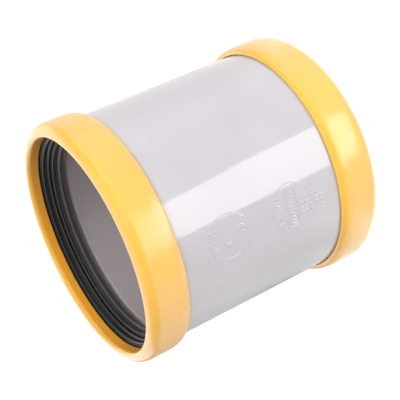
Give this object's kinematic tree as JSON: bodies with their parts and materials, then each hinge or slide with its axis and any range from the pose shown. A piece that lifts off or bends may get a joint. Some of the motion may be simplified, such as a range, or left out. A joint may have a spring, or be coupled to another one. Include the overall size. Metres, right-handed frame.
{
  "type": "pvc slip coupling",
  "caption": "Slip coupling for plain-ended sewer pipe: a smooth sleeve with no centre stop, a retaining ring clipped over each end and a lip seal in each mouth.",
  "frame": {"origin": "centre of the lower retaining ring's end, on the surface that the coupling stands on", "axes": "+Z along the bore axis, from the end it stands on to the upper mouth; any direction square to it can be X"},
  "size_m": [0.1804, 0.1804, 0.192],
  "materials": {
    "grey_pvc": "light grey moulded PVC, smooth and glossy",
    "yellow_ring": "warm yellow moulded plastic, semi-gloss",
    "black_rubber": "black rubber with a thin film of grease"
  },
  "bodies": {
    "root": {"coupling_body": "grey_pvc", "retaining_ring_bottom": "yellow_ring", "retaining_ring_top": "yellow_ring", "seal_ring_bottom": "black_rubber", "seal_ring_top": "black_rubber"}
  },
  "joints": []
}
